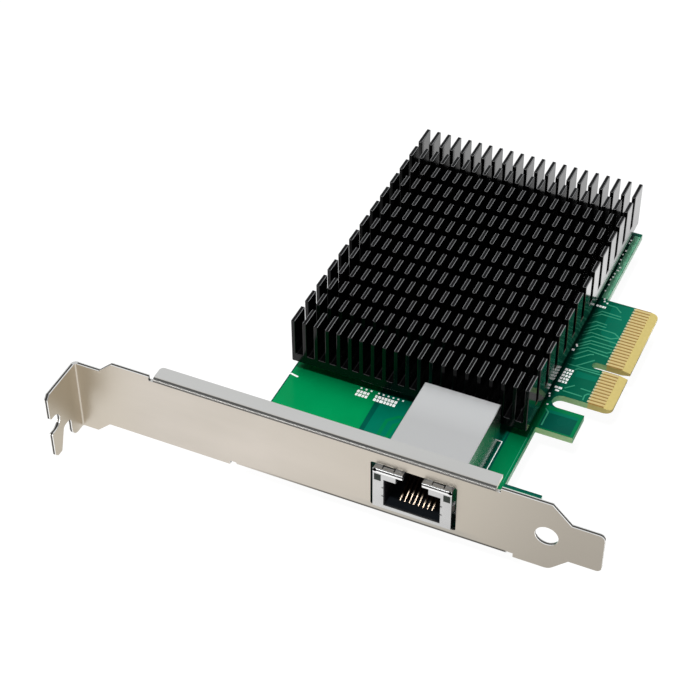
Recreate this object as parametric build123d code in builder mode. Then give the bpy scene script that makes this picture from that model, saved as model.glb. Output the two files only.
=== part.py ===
# Network interface card: a low-profile circuit board with an edge connector, a cross-cut finned
# heatsink, a shielded network jack and a full-height steel bracket. Millimetres.
# X runs along the bracket from its screw tab, Y runs back from the bracket's face and Z rises
# from the component side of the board.
import os

from build123d import *

# Circuit board
board_thickness = 1.57
board_left = 38.5
board_front = 1.2
board_margin = 0.5
board_corner = 0.8
foot_right = 102.2
foot_back = 15.2
hook_front = 33.5
hook_right = 102.4
hook_slot_width = 3.95
hook_slot_margin = 0.9
rear_margin = 1.4

# Edge connector
key_notch_y = 57.15
key_notch_width = 1.9
key_notch_left = 98.7
tongue_right = 107.3
tongue_corner = 1.2
bevel_length = 1.9
bevel_depth = 0.45
contact_pitch = 1.0
contact_width = 0.7
contact_length = 3.6
contact_thickness = 0.05
key_to_contact = 1.5
edge_to_contact = 0.65
front_contacts = 11
back_contacts = 21

# Heatsink
sink_width = 55.0
sink_length = 77.1
sink_gap = 2.1
sink_height = 11.7
sink_base = 2.2
sink_lift = 3.0
fin_thickness = 0.92
fin_count = 21
cut_count = 12
cut_width = 2.0
cut_pitch = 5.85
cut_margin = 5.15
cut_web = 1.1
root_round = 0.4
sink_screw_inset_x = 5.4
sink_screw_inset_y = 6.5
sink_thread_depth = 1.9

# Bracket
sheet = 0.86
bracket_length = 120.02
bracket_width = 18.42
bracket_low = -3.6
tab_bend = 1.26
tab_depth = 11.43
neck_shift = 2.97
neck_length_low = 4.7
neck_length_high = 6.7
neck_slope = 3.2
tail_length = 6.9
tail_width = 10.2
tail_low = 0.35
tail_corner = 1.25
shoulder_corner = 2.4
tail_hole_diameter = 5.0
tail_hole_inset = 11.82
tail_hole_z = 5.7

# Screw tab
tab_corner = 1.03
tab_nose = 0.5
screw_slot_width = 4.2
screw_slot_z = 2.95
screw_slot_inner = 8.0
prong_foot = 1.6
prong_low = -6.3
prong_chamfer = 0.9
prong_root = 4.38
notch_high = -0.65
notch_corner = 1.1
ear_width = 4.2
ear_corner = 2.3

# Bent edges of the bracket
flange_bend = 1.06
flange_depth = 3.95
flange_left = 20.0
flange_right = 97.0
flange_relief = 1.05
flange_corner_left = 1.0
flange_corner_right = 2.0
lower_flange_left = 38.8
lower_flange_right = 100.0
lower_flange_relief = 1.5
lug_width = 8.0
lug_length = 7.2
lug_slope = 1.6
lug_boss_diameter = 4.6
lug_boss_height = 0.8
lug_inset = 6.4
lug_screw_y = 8.0

# Network jack
jack_left = 71.0
jack_width = 17.3
jack_top = 10.8
jack_front = -1.2
jack_back = 26.4
jack_sheet = 0.3
jack_fit = 0.05
lip_drop = 0.25
window_gap_left = 1.0
window_gap_right = 0.65
window_gap_top = 0.3
window_gap_low = 1.15
window_corner = 0.5
port_wall = 2.4
port_low = 0.65
port_high = 8.1
port_step_width = 7.2
port_step_high = 9.6
latch_width = 4.3
latch_depth = 2.6
port_tick = 0.4
port_tick_height = 0.3
port_tick_low = 3.3
port_tick_high = 5.7
port_lining = 0.15
port_depth = 12.6
lamp_width = 1.5
lamp_rise = 1.85
lamp_z = 8.4
lamp_inset = 0.3
lamp_depth = 9.0
jack_fold = 0.25
spring_inset = 0.4
spring_clear = 0.5
spring_drop = 0.2
spring_gap = 0.05
spring_sheet = 0.2
spring_reach = 1.7
spring_slot_width = 0.25
spring_slot_depth = 0.9
spring_slot_margin = 0.4
lip_slit_z = 10.3
lip_slit_height = 0.15
lip_hole_diameter = 0.6
side_spring_z = 5.6
side_spring_height = 1.6
side_spring_rise = 0.4
side_spring_reach = 0.9
shield_leg_width = 1.6
shield_leg_y = 12.0
lead_below = 1.3
module_length = 12.0

# Jack contacts
wire_count = 8
wire_pitch = 1.016
wire_width = 0.42
wire_thickness = 0.3
wire_front = 1.3
wire_curl = 1.0
wire_seat = 0.25
wire_tip_y = 8.8
wire_tip_z = 3.6
lead_diameter = 0.5
lead_hole_gap = 0.15
lead_row_front = 17.0
lead_row_gap = 2.54
lead_pitch = 2.54
lead_columns = 5
solder_diameter = 1.7
solder_height = 0.7
solder_taper = 35
lead_sides = 8
solder_sides = 12

# Board components, all lower than the heatsink's lift
chip_width = 14.0
chip_length = 12.0
chip_substrate = 0.9
chip_lid_inset = 0.8
chip_height = 2.3
chip_forward = 3.0
pad_overhang = 1.0
inductor_size = 6.4
inductor_height = 2.6
inductor_corner = 0.8
regulator_size = 4.0
regulator_height = 0.9
memory_width = 3.9
memory_length = 4.9
memory_height = 1.5
memory_leg_reach = 1.05
memory_leg_width = 0.4
memory_leg_pitch = 1.27
crystal_width = 3.2
crystal_length = 2.5
crystal_height = 0.8
bulk_length = 3.5
bulk_width = 2.8
bulk_height = 1.9
small_length = 1.6
small_width = 0.8
small_height = 0.8
small_pitch = 2.2
chip_margin = 3.0
lane_pitch = 1.9
resistor_height = 0.45
inductor_pitch = 9.5
inductor_back = 30.0
regulator_back = 22.0
bulk_back = 15.5
memory_side = 16.0
crystal_side = 15.0
memory_forward = 11.0
decoupling_columns = 5
decoupling_rows = 4

# Screws
screw_diameter = 3.0
screw_fit = 0.1
thread_gap = 0.04
bracket_screw_length = 3.4
sink_screw_length = 6.2
screw_head_diameter = 5.6
screw_head_height = 1.9
screw_head_bevel = 0.7
screw_recess_length = 3.0
screw_recess_width = 0.7
screw_recess_depth = 1.1
spacer_diameter = 5.6

# Places that follow from the sizes above
bracket_high = bracket_low + bracket_width
neck_low = bracket_low - neck_shift
neck_high = bracket_high - neck_shift
tail_start = bracket_length - tail_length
tail_high = tail_low + tail_width
tab_inner_bend = tab_bend - sheet
board_low = -board_thickness
tongue_front = key_notch_y - key_to_contact - (front_contacts - 1) * contact_pitch - edge_to_contact
hook_back = tongue_front - hook_slot_width
tongue_back = key_notch_y + key_to_contact + (back_contacts - 1) * contact_pitch + edge_to_contact
contact_right = tongue_right - bevel_length
sink_left = board_left
sink_right = sink_left + sink_width
sink_front = jack_back + sink_gap
board_right = sink_right + board_margin
board_back = sink_front + sink_length
hook_slot_left = sink_right + hook_slot_margin
rear_right = sink_right + rear_margin
sink_top = sink_lift + sink_height
sink_centre_x = sink_left + sink_width / 2
sink_centre_y = sink_front + sink_length / 2
base_top = sink_lift + sink_base
cut_floor = base_top + cut_web
cut_centre_y = sink_front + cut_margin + ((cut_count - 1) * cut_pitch + cut_width) / 2
sink_screws_x = sink_width - 2 * sink_screw_inset_x
sink_screws_y = sink_length - 2 * sink_screw_inset_y
screw_clearance = screw_diameter + 2 * screw_fit
jack_centre = jack_left + jack_width / 2
jack_right = jack_left + jack_width
port_width = jack_width - 2 * port_wall
lamp_offset = (jack_width - lamp_width) / 2 - lamp_inset
spring_width = (jack_width - latch_width) / 2 - spring_inset - spring_clear
spring_slot = spring_width / 2
lug_first_x = board_left + lug_inset
lug_last_x = foot_right - lug_inset
bracket_screw_places = [(lug_first_x, lug_screw_y), (lug_last_x, lug_screw_y)]
sink_screw_places = [(sink_centre_x + across * sink_screws_x / 2, sink_centre_y + along * sink_screws_y / 2)
                     for across in (-1, 1) for along in (-1, 1)]
shoulder_low_x = tail_start - (tail_low - bracket_low)
shoulder_high_x = tail_start - (bracket_high - tail_high)
tail_hole_x = bracket_length - tail_hole_inset
spring_foot = jack_top - spring_drop
spring_tip = jack_top + window_gap_top - spring_gap
insert_left = jack_left + jack_sheet + jack_fit
insert_right = jack_right - jack_sheet - jack_fit
insert_front = jack_front + jack_sheet + jack_fit
insert_back = jack_back - jack_sheet - jack_fit - module_length
insert_top = jack_top - jack_sheet - jack_fit
port_floor = port_low + port_lining
port_back = insert_front + port_depth
lead_places = [(jack_centre + (k - (lead_columns - 1) / 2) * lead_pitch, lead_row_front + row * lead_row_gap)
               for k in range(lead_columns) for row in (0, 1)]
chip_x = sink_centre_x
chip_y = sink_centre_y - chip_forward
os.makedirs("parts", exist_ok=True)


def board_rectangle(left, right, front, back):
    """A rectangle of the board's outline between four edges."""
    with Locations((left, front)):
        Rectangle(right - left, back - front, align=(Align.MIN, Align.MIN))


def contact_rows():
    """The pads of one side of the edge connector, before and behind the key notch."""
    for count, start, way in ((front_contacts, -key_to_contact, -1), (back_contacts, key_to_contact, 1)):
        for k in range(count):
            with Locations((contact_right, key_notch_y + start + way * k * contact_pitch)):
                Rectangle(contact_length, contact_width, align=(Align.MAX, Align.CENTER))


def bend_section(outer, across, along):
    """The quarter ring of a bend in the bracket's sheet, about the bend's own centre."""
    Circle(outer)
    Circle(outer - sheet, mode=Mode.SUBTRACT)
    Rectangle(outer, outer, align=(across, along), mode=Mode.INTERSECT)


def port_outline(inset):
    """The stepped opening of a network port, drawn inwards from the shield's edge."""
    with Locations((jack_centre, port_low + inset)):
        Rectangle(port_width - 2 * inset, port_high - port_low - 2 * inset, align=(Align.CENTER, Align.MIN))
        Rectangle(port_step_width - 2 * inset, port_step_high - port_low - 2 * inset,
                  align=(Align.CENTER, Align.MIN))


def pan_head_screws(places, seat, way, length):
    """Screws with cross recesses: heads on the seat, shanks the other way."""
    with BuildSketch(Plane.XY.offset(seat)) as heads:
        with Locations(*places):
            Circle(screw_head_diameter / 2)
    extrude(heads.sketch, amount=way * screw_head_height)
    rims = edges().filter_by(GeomType.CIRCLE).group_by(Axis.Z)
    chamfer(rims[-1] if way > 0 else rims[0], length=screw_head_bevel)
    with BuildSketch(Plane.XY.offset(seat)) as shanks:
        with Locations(*places):
            Circle(screw_diameter / 2)
    extrude(shanks.sketch, amount=-way * length)
    with BuildSketch(Plane.XY.offset(seat + way * screw_head_height)) as recesses:
        with Locations(*places):
            Rectangle(screw_recess_length, screw_recess_width)
            Rectangle(screw_recess_width, screw_recess_length)
    extrude(recesses.sketch, amount=-way * screw_recess_depth, mode=Mode.SUBTRACT)


# Circuit board: foot beside the bracket, hook with its slot, tongue with its key notch
with BuildPart() as circuit_board:
    with BuildSketch(Plane.XY.offset(board_low)) as board_outline:
        board_rectangle(board_left, board_right, board_front, board_back)
        board_rectangle(board_right, foot_right, board_front, foot_back)
        board_rectangle(board_right, hook_right, hook_front, tongue_front)
        board_rectangle(board_right, tongue_right, tongue_front, tongue_back)
        board_rectangle(board_right, rear_right, tongue_back, board_back)
        fillet(board_outline.vertices().group_by(Axis.X)[-1], radius=tongue_corner)
        fillet(board_outline.vertices().group_by(Axis.X)[0], radius=board_corner)
        slot_radius = hook_slot_width / 2
        with Locations((hook_slot_left + slot_radius, hook_back + slot_radius)):
            Circle(slot_radius, mode=Mode.SUBTRACT)
            Rectangle(tongue_right, hook_slot_width, align=(Align.MIN, Align.CENTER), mode=Mode.SUBTRACT)
        with Locations((key_notch_left + key_notch_width / 2, key_notch_y)):
            Circle(key_notch_width / 2, mode=Mode.SUBTRACT)
            Rectangle(tongue_right, key_notch_width, align=(Align.MIN, Align.CENTER), mode=Mode.SUBTRACT)
    extrude(amount=board_thickness)
    with BuildSketch(Plane.XZ.offset(-tongue_front)):
        for side in (0, board_low):
            depth = bevel_depth if side else -bevel_depth
            with BuildLine():
                Polyline((tongue_right, side), (tongue_right - bevel_length, side),
                         (tongue_right, side + depth), close=True)
            make_face()
    extrude(amount=tongue_front - tongue_back, mode=Mode.SUBTRACT)
    with BuildSketch(Plane.XY):
        with Locations(*bracket_screw_places, *sink_screw_places):
            Circle(screw_clearance / 2)
        with Locations(*lead_places):
            RegularPolygon(lead_diameter / 2 + lead_hole_gap, solder_sides)
        with Locations((jack_centre, shield_leg_y)):
            with GridLocations(jack_width - jack_sheet, shield_leg_width, 2, 1):
                Rectangle(jack_sheet + 2 * lead_hole_gap, shield_leg_width + 2 * lead_hole_gap)
    extrude(amount=board_low, mode=Mode.SUBTRACT)
circuit_board.part.label = "circuit_board"
export_step(circuit_board.part, "parts/circuit_board.step")

with BuildPart() as edge_contacts_top:
    with BuildSketch(Plane.XY):
        contact_rows()
    extrude(amount=contact_thickness)
edge_contacts_top.part.label = "edge_contacts_top"
export_step(edge_contacts_top.part, "parts/edge_contacts_top.step")

with BuildPart() as edge_contacts_bottom:
    with BuildSketch(Plane.XY.offset(board_low)):
        contact_rows()
    extrude(amount=-contact_thickness)
edge_contacts_bottom.part.label = "edge_contacts_bottom"
export_step(edge_contacts_bottom.part, "parts/edge_contacts_bottom.step")

# Heatsink: an extruded comb of fins, cross-cut into rows of pins
with BuildPart() as heatsink:
    with BuildSketch(Plane.XZ.offset(-sink_front)) as comb:
        with Locations((sink_centre_x, sink_lift)):
            Rectangle(sink_width, sink_base, align=(Align.CENTER, Align.MIN))
        with Locations((sink_centre_x, sink_lift + sink_height / 2)):
            with GridLocations((sink_width - fin_thickness) / (fin_count - 1), sink_height, fin_count, 1):
                Rectangle(fin_thickness, sink_height)
        fillet(comb.vertices().group_by(Axis.Y)[1], radius=root_round)
    extrude(amount=-sink_length)
    with BuildSketch(Plane.XY.offset(cut_floor)):
        with Locations((sink_centre_x, cut_centre_y)):
            with GridLocations(sink_width, cut_pitch, 1, cut_count):
                Rectangle(sink_width, cut_width)
    extrude(amount=sink_top - cut_floor, mode=Mode.SUBTRACT)
    with BuildSketch(Plane.XY.offset(sink_lift)):
        with Locations(*sink_screw_places):
            Circle(screw_diameter / 2 + thread_gap)
    extrude(amount=sink_thread_depth, mode=Mode.SUBTRACT)
heatsink.part.label = "heatsink"
export_step(heatsink.part, "parts/heatsink.step")

# Bracket: one steel sheet with a bent screw tab, two bent edges and two lugs under the board
with BuildPart() as bracket:
    with BuildSketch(Plane.XZ) as plate:
        with BuildLine():
            Polyline((tab_bend, neck_low), (neck_length_low, neck_low),
                     (neck_length_low + neck_slope, bracket_low), (shoulder_low_x, bracket_low),
                     (tail_start, tail_low), (bracket_length, tail_low), (bracket_length, tail_high),
                     (tail_start, tail_high), (shoulder_high_x, bracket_high),
                     (neck_length_high + neck_slope, bracket_high), (neck_length_high, neck_high),
                     (tab_bend, neck_high), close=True)
        make_face()
        fillet(plate.vertices().group_by(Axis.X)[-1], radius=tail_corner)
        fillet(plate.vertices().sort_by_distance((shoulder_low_x, bracket_low))[0], radius=shoulder_corner)
        with Locations((flange_left - flange_relief, bracket_high)):
            Rectangle(flange_right - flange_left + 2 * flange_relief, flange_bend,
                      align=(Align.MIN, Align.MAX), mode=Mode.SUBTRACT)
        with Locations((lower_flange_left - lower_flange_relief, bracket_low)):
            Rectangle(lower_flange_right - lower_flange_left + 2 * lower_flange_relief, flange_bend,
                      align=(Align.MIN, Align.MIN), mode=Mode.SUBTRACT)
        with Locations((jack_left - window_gap_left, -lip_drop - window_gap_low)):
            RectangleRounded(jack_width + window_gap_left + window_gap_right,
                             jack_top + window_gap_top + lip_drop + window_gap_low, window_corner,
                             align=(Align.MIN, Align.MIN), mode=Mode.SUBTRACT)
        with Locations((tail_hole_x, tail_hole_z)):
            Circle(tail_hole_diameter / 2, mode=Mode.SUBTRACT)
    extrude(amount=-sheet)
    with BuildSketch(Plane.XY.offset(neck_low)):
        with Locations((tab_bend, -tab_inner_bend)):
            bend_section(tab_bend, Align.MAX, Align.MIN)
    extrude(amount=neck_high - neck_low)
    with BuildSketch(Plane.YZ) as tab:
        with BuildLine():
            Polyline((-tab_inner_bend, neck_high), (tab_corner - tab_depth, neck_high),
                     (-tab_depth, neck_high - tab_corner), (-tab_depth, prong_low + prong_chamfer),
                     (prong_chamfer - tab_depth, prong_low),
                     (prong_chamfer + prong_foot - tab_depth, prong_low),
                     (prong_root - tab_depth, notch_high), (-ear_width, notch_high),
                     (-ear_width, neck_low), (-tab_inner_bend, neck_low), close=True)
        make_face()
        fillet(tab.vertices().filter_by_position(Axis.Y, notch_high, notch_high), radius=notch_corner)
        fillet(tab.vertices().sort_by_distance((-ear_width, neck_low))[0], radius=ear_corner)
        with Locations((-screw_slot_inner - screw_slot_width / 2, screw_slot_z)):
            Circle(screw_slot_width / 2, mode=Mode.SUBTRACT)
            Rectangle(tab_depth, screw_slot_width, align=(Align.MAX, Align.CENTER), mode=Mode.SUBTRACT)
        for side in (1, -1):
            mouth = (-tab_depth, screw_slot_z + side * screw_slot_width / 2)
            fillet(tab.vertices().sort_by_distance(mouth)[0], radius=tab_nose)
    extrude(amount=sheet)
    with BuildSketch(Plane.YZ.offset(flange_left)):
        with Locations((flange_bend, bracket_high - flange_bend)):
            bend_section(flange_bend, Align.MAX, Align.MIN)
    extrude(amount=flange_right - flange_left)
    with BuildSketch(Plane.XY.offset(bracket_high)) as flange:
        board_rectangle(flange_left, flange_right, flange_bend, flange_depth)
        flange_corners = flange.vertices().group_by(Axis.Y)[-1].sort_by(Axis.X)
        fillet(flange_corners[0], radius=flange_corner_left)
        fillet(flange_corners[-1], radius=flange_corner_right)
    extrude(amount=-sheet)
    with BuildSketch(Plane.YZ.offset(lower_flange_left)):
        with Locations((flange_bend, bracket_low + flange_bend)):
            bend_section(flange_bend, Align.MAX, Align.MAX)
    extrude(amount=lower_flange_right - lower_flange_left)
    with BuildSketch(Plane.XY.offset(bracket_low)):
        board_rectangle(lower_flange_left, lower_flange_right, flange_bend, flange_depth)
    extrude(amount=sheet)
    for lug_x in (lug_first_x, lug_last_x):
        with BuildSketch(Plane.YZ.offset(lug_x - lug_width / 2)):
            with BuildLine():
                Polyline((flange_bend, bracket_low), (flange_depth, bracket_low),
                         (flange_depth + lug_slope, board_low - sheet),
                         (flange_depth + lug_length, board_low - sheet),
                         (flange_depth + lug_length, board_low), (flange_depth + lug_slope, board_low),
                         (flange_depth, bracket_low + sheet), (flange_bend, bracket_low + sheet), close=True)
            make_face()
        extrude(amount=lug_width)
    with BuildSketch(Plane.XY.offset(board_low - sheet)):
        with Locations(*bracket_screw_places):
            Circle(lug_boss_diameter / 2)
    extrude(amount=-lug_boss_height)
    with BuildSketch(Plane.XY.offset(board_low)):
        with Locations(*bracket_screw_places):
            Circle(screw_diameter / 2 + thread_gap)
    extrude(amount=-sheet - lug_boss_height, mode=Mode.SUBTRACT)
bracket.part.label = "bracket"
export_step(bracket.part, "parts/bracket.step")

with BuildPart() as bracket_screws:
    pan_head_screws(bracket_screw_places, 0, 1, bracket_screw_length)
bracket_screws.part.label = "bracket_screws"
export_step(bracket_screws.part, "parts/bracket_screws.step")

with BuildPart() as heatsink_screws:
    pan_head_screws(sink_screw_places, board_low, -1, sink_screw_length)
heatsink_screws.part.label = "heatsink_screws"
export_step(heatsink_screws.part, "parts/heatsink_screws.step")

with BuildPart() as heatsink_spacers:
    with BuildSketch(Plane.XY):
        with Locations(*sink_screw_places):
            Circle(spacer_diameter / 2)
            Circle(screw_clearance / 2, mode=Mode.SUBTRACT)
    extrude(amount=sink_lift)
heatsink_spacers.part.label = "heatsink_spacers"
export_step(heatsink_spacers.part, "parts/heatsink_spacers.step")

# Network jack: folded shield with spring leaves, plastic insert, contact wires and lamps
with BuildPart() as jack_shield:
    with BuildSketch(Plane.XY):
        board_rectangle(jack_left, jack_right, jack_front, jack_back)
    extrude(amount=jack_top)
    fillet(jack_shield.faces().sort_by(Axis.Z)[-1].edges(), radius=jack_fold)
    with BuildSketch(Plane.XY):
        board_rectangle(jack_left + jack_sheet, jack_right - jack_sheet,
                        jack_front + jack_sheet, jack_back - jack_sheet)
    extrude(amount=jack_top - jack_sheet, mode=Mode.SUBTRACT)
    with BuildSketch(Plane.XZ.offset(-jack_front)):
        with Locations((jack_centre, 0)):
            Rectangle(jack_width, lip_drop, align=(Align.CENTER, Align.MAX))
    extrude(amount=-jack_sheet)
    for leaf_left in (jack_left + spring_inset, jack_right - spring_inset - spring_width):
        with BuildSketch(Plane.YZ.offset(leaf_left)):
            with BuildLine():
                Polyline((jack_front, spring_foot), (jack_front, spring_foot - spring_sheet),
                         (jack_front + spring_reach, spring_tip - spring_sheet),
                         (jack_front + spring_reach, spring_tip), close=True)
            make_face()
        extrude(amount=spring_width)
        slot_back = jack_front + spring_reach - spring_slot_margin
        with BuildSketch(Plane.XY.offset(spring_tip)):
            with Locations((leaf_left + spring_width / 2, slot_back)):
                Rectangle(spring_slot, spring_slot_depth, align=(Align.CENTER, Align.MAX))
            with Locations((leaf_left + spring_width / 2, slot_back - spring_slot_width)):
                Rectangle(spring_slot - 2 * spring_slot_width, spring_slot_depth,
                          align=(Align.CENTER, Align.MAX), mode=Mode.SUBTRACT)
        extrude(amount=jack_top - jack_sheet - spring_tip, mode=Mode.SUBTRACT)
    for wall_x, way in ((jack_left, -1), (jack_right, 1)):
        with BuildSketch(Plane.XY.offset(side_spring_z - side_spring_height / 2)):
            with BuildLine():
                Polyline((wall_x, -side_spring_reach), (wall_x + way * side_spring_rise, 0),
                         (wall_x, side_spring_reach), close=True)
            make_face()
        extrude(amount=side_spring_height)
        with BuildSketch(Plane.XY):
            with Locations((wall_x - way * jack_sheet / 2, shield_leg_y)):
                Rectangle(jack_sheet, shield_leg_width)
        extrude(amount=board_low - lead_below)
    with BuildSketch(Plane.XZ.offset(-jack_front)):
        port_outline(0)
        with Locations((jack_centre, port_low)):
            Rectangle(latch_width, jack_top - port_low, align=(Align.CENTER, Align.MIN))
        for tick_z in (port_tick_low, port_tick_high):
            with Locations((jack_centre, tick_z)):
                Rectangle(port_width + 2 * port_tick, port_tick_height)
        with Locations((jack_centre, lamp_z)):
            with GridLocations(2 * lamp_offset, lamp_rise, 2, 1):
                Rectangle(lamp_width, lamp_rise)
        with Locations((jack_centre, lip_slit_z)):
            with GridLocations(jack_width - spring_width - 2 * spring_inset, lip_slit_height, 2, 1):
                Rectangle(spring_width, lip_slit_height)
            with GridLocations(jack_width - 2 * spring_inset, lip_hole_diameter, 2, 1):
                Circle(lip_hole_diameter / 2)
    extrude(amount=-jack_sheet, mode=Mode.SUBTRACT)
    with BuildSketch(Plane.XY.offset(jack_top)):
        with Locations((jack_centre, jack_front)):
            Rectangle(latch_width, latch_depth, align=(Align.CENTER, Align.MIN))
    extrude(amount=-jack_sheet, mode=Mode.SUBTRACT)
jack_shield.part.label = "jack_shield"
export_step(jack_shield.part, "parts/jack_shield.step")

with BuildPart() as jack_housing:
    with BuildSketch(Plane.XY):
        board_rectangle(insert_left, insert_right, insert_front, insert_back)
    extrude(amount=insert_top)
    with BuildSketch(Plane.XZ.offset(-insert_front)):
        port_outline(port_lining)
    extrude(amount=-port_depth, mode=Mode.SUBTRACT)
    with BuildSketch(Plane.XZ.offset(-insert_front)):
        with Locations((jack_centre, port_low + port_lining)):
            Rectangle(latch_width - 2 * port_lining, insert_top, align=(Align.CENTER, Align.MIN))
    extrude(amount=-latch_depth, mode=Mode.SUBTRACT)
    with BuildSketch(Plane.XZ.offset(-insert_front)):
        with Locations((jack_centre, lamp_z)):
            with GridLocations(2 * lamp_offset, lamp_rise, 2, 1):
                Rectangle(lamp_width + 2 * jack_fit, lamp_rise + 2 * jack_fit)
    extrude(amount=-lamp_depth, mode=Mode.SUBTRACT)
    with BuildSketch(Plane.XY.offset(port_floor)):
        with Locations((jack_centre, wire_front - jack_fit)):
            with GridLocations(wire_pitch, port_depth, wire_count, 1):
                Rectangle(wire_width + 2 * jack_fit, port_back - wire_front + jack_fit,
                          align=(Align.CENTER, Align.MIN))
    extrude(amount=-wire_thickness, mode=Mode.SUBTRACT)
jack_housing.part.label = "jack_housing"
export_step(jack_housing.part, "parts/jack_housing.step")

with BuildPart() as jack_contacts:
    for k in range(wire_count):
        wire_x = jack_centre + (k - (wire_count - 1) / 2) * wire_pitch
        with BuildSketch(Plane.YZ.offset(wire_x - wire_width / 2)):
            with BuildLine():
                Polyline((port_back, port_floor), (wire_front + wire_curl, port_floor),
                         (wire_tip_y, wire_tip_z - wire_thickness), (wire_tip_y, wire_tip_z),
                         (wire_front, port_floor), (wire_front, port_floor - wire_seat),
                         (port_back, port_floor - wire_seat), close=True)
            make_face()
        extrude(amount=wire_width)
jack_contacts.part.label = "jack_contacts"
export_step(jack_contacts.part, "parts/jack_contacts.step")

with BuildPart() as jack_lamps:
    with BuildSketch(Plane.XZ.offset(-jack_front)):
        with Locations((jack_centre, lamp_z)):
            with GridLocations(2 * lamp_offset, lamp_rise, 2, 1):
                Rectangle(lamp_width - 2 * jack_fit, lamp_rise - 2 * jack_fit)
    extrude(amount=-lamp_depth)
jack_lamps.part.label = "jack_lamps"
export_step(jack_lamps.part, "parts/jack_lamps.step")

with BuildPart() as magnetics_module:
    with BuildSketch(Plane.XY):
        board_rectangle(insert_left, insert_right, insert_back + jack_fit, jack_back - jack_sheet - jack_fit)
    extrude(amount=insert_top)
magnetics_module.part.label = "magnetics_module"
export_step(magnetics_module.part, "parts/magnetics_module.step")

with BuildPart() as jack_leads:
    with BuildSketch(Plane.XY):
        with Locations(*lead_places):
            RegularPolygon(lead_diameter / 2, lead_sides)
    extrude(amount=board_low - lead_below)
    with BuildSketch(Plane.XY.offset(board_low)):
        with Locations(*lead_places):
            RegularPolygon(solder_diameter / 2, solder_sides)
    extrude(amount=-solder_height, taper=solder_taper)
jack_leads.part.label = "jack_leads"
export_step(jack_leads.part, "parts/jack_leads.step")

# Controller in the middle of the heatsink, with its memory, clock and supplies around it
with BuildPart() as controller_chip:
    with BuildSketch(Plane.XY):
        with Locations((chip_x, chip_y)):
            Rectangle(chip_width, chip_length)
    extrude(amount=chip_substrate)
    with BuildSketch(Plane.XY.offset(chip_substrate)):
        with Locations((chip_x, chip_y)):
            Rectangle(chip_width - 2 * chip_lid_inset, chip_length - 2 * chip_lid_inset)
    extrude(amount=chip_height - chip_substrate)
controller_chip.part.label = "controller_chip"
export_step(controller_chip.part, "parts/controller_chip.step")

with BuildPart() as thermal_pad:
    with BuildSketch(Plane.XY.offset(chip_height)):
        with Locations((chip_x, chip_y)):
            Rectangle(chip_width + pad_overhang, chip_length + pad_overhang)
    extrude(amount=sink_lift - chip_height)
thermal_pad.part.label = "thermal_pad"
export_step(thermal_pad.part, "parts/thermal_pad.step")

with BuildPart() as power_inductors:
    with BuildSketch(Plane.XY):
        with Locations((chip_x, chip_y + inductor_back)):
            with GridLocations(inductor_pitch, inductor_size, 3, 1):
                RectangleRounded(inductor_size, inductor_size, inductor_corner)
    extrude(amount=inductor_height)
power_inductors.part.label = "power_inductors"
export_step(power_inductors.part, "parts/power_inductors.step")

with BuildPart() as regulators:
    with BuildSketch(Plane.XY):
        with Locations((chip_x, chip_y + regulator_back)):
            with GridLocations(inductor_pitch, regulator_size, 3, 1):
                Rectangle(regulator_size, regulator_size)
    extrude(amount=regulator_height)
regulators.part.label = "regulators"
export_step(regulators.part, "parts/regulators.step")

with BuildPart() as bulk_capacitors:
    with BuildSketch(Plane.XY):
        with Locations((chip_x, chip_y + bulk_back)):
            with GridLocations(inductor_pitch, bulk_width, 4, 1):
                Rectangle(bulk_length, bulk_width)
    extrude(amount=bulk_height)
bulk_capacitors.part.label = "bulk_capacitors"
export_step(bulk_capacitors.part, "parts/bulk_capacitors.step")

with BuildPart() as flash_memory:
    with BuildSketch(Plane.XY):
        with Locations((chip_x + memory_side, chip_y - memory_forward)):
            with GridLocations(memory_length, memory_leg_pitch, 1, 4):
                Rectangle(memory_width + 2 * memory_leg_reach, memory_leg_width)
    extrude(amount=memory_height / 2)
    with BuildSketch(Plane.XY):
        with Locations((chip_x + memory_side, chip_y - memory_forward)):
            Rectangle(memory_width, memory_length)
    extrude(amount=memory_height)
flash_memory.part.label = "flash_memory"
export_step(flash_memory.part, "parts/flash_memory.step")

with BuildPart() as crystal:
    with BuildSketch(Plane.XY):
        with Locations((chip_x - crystal_side, chip_y - memory_forward)):
            Rectangle(crystal_width, crystal_length)
    extrude(amount=crystal_height)
crystal.part.label = "crystal"
export_step(crystal.part, "parts/crystal.step")

with BuildPart() as ceramic_capacitors:
    with BuildSketch(Plane.XY):
        with Locations((chip_x, chip_y)):
            with GridLocations(chip_width + 2 * chip_margin, small_pitch, 2, decoupling_columns):
                Rectangle(small_length, small_width)
            with GridLocations(small_pitch, chip_length + 2 * chip_margin, decoupling_columns, 2):
                Rectangle(small_width, small_length)
        with Locations((sink_right - chip_margin, key_notch_y + back_contacts / 2)):
            with GridLocations(small_length, lane_pitch, 1, 2 * decoupling_rows):
                Rectangle(small_length, small_width)
    extrude(amount=small_height)
ceramic_capacitors.part.label = "ceramic_capacitors"
export_step(ceramic_capacitors.part, "parts/ceramic_capacitors.step")

with BuildPart() as resistors:
    with BuildSketch(Plane.XY):
        with Locations((chip_x, chip_y - chip_margin - chip_length)):
            with GridLocations(small_pitch, small_pitch, decoupling_columns, 2):
                Rectangle(small_length, small_width)
        with Locations((jack_centre, sink_front + chip_margin)):
            with GridLocations(small_pitch, small_pitch, decoupling_rows, 1):
                Rectangle(small_width, small_length)
    extrude(amount=resistor_height)
resistors.part.label = "resistors"
export_step(resistors.part, "parts/resistors.step")

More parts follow.
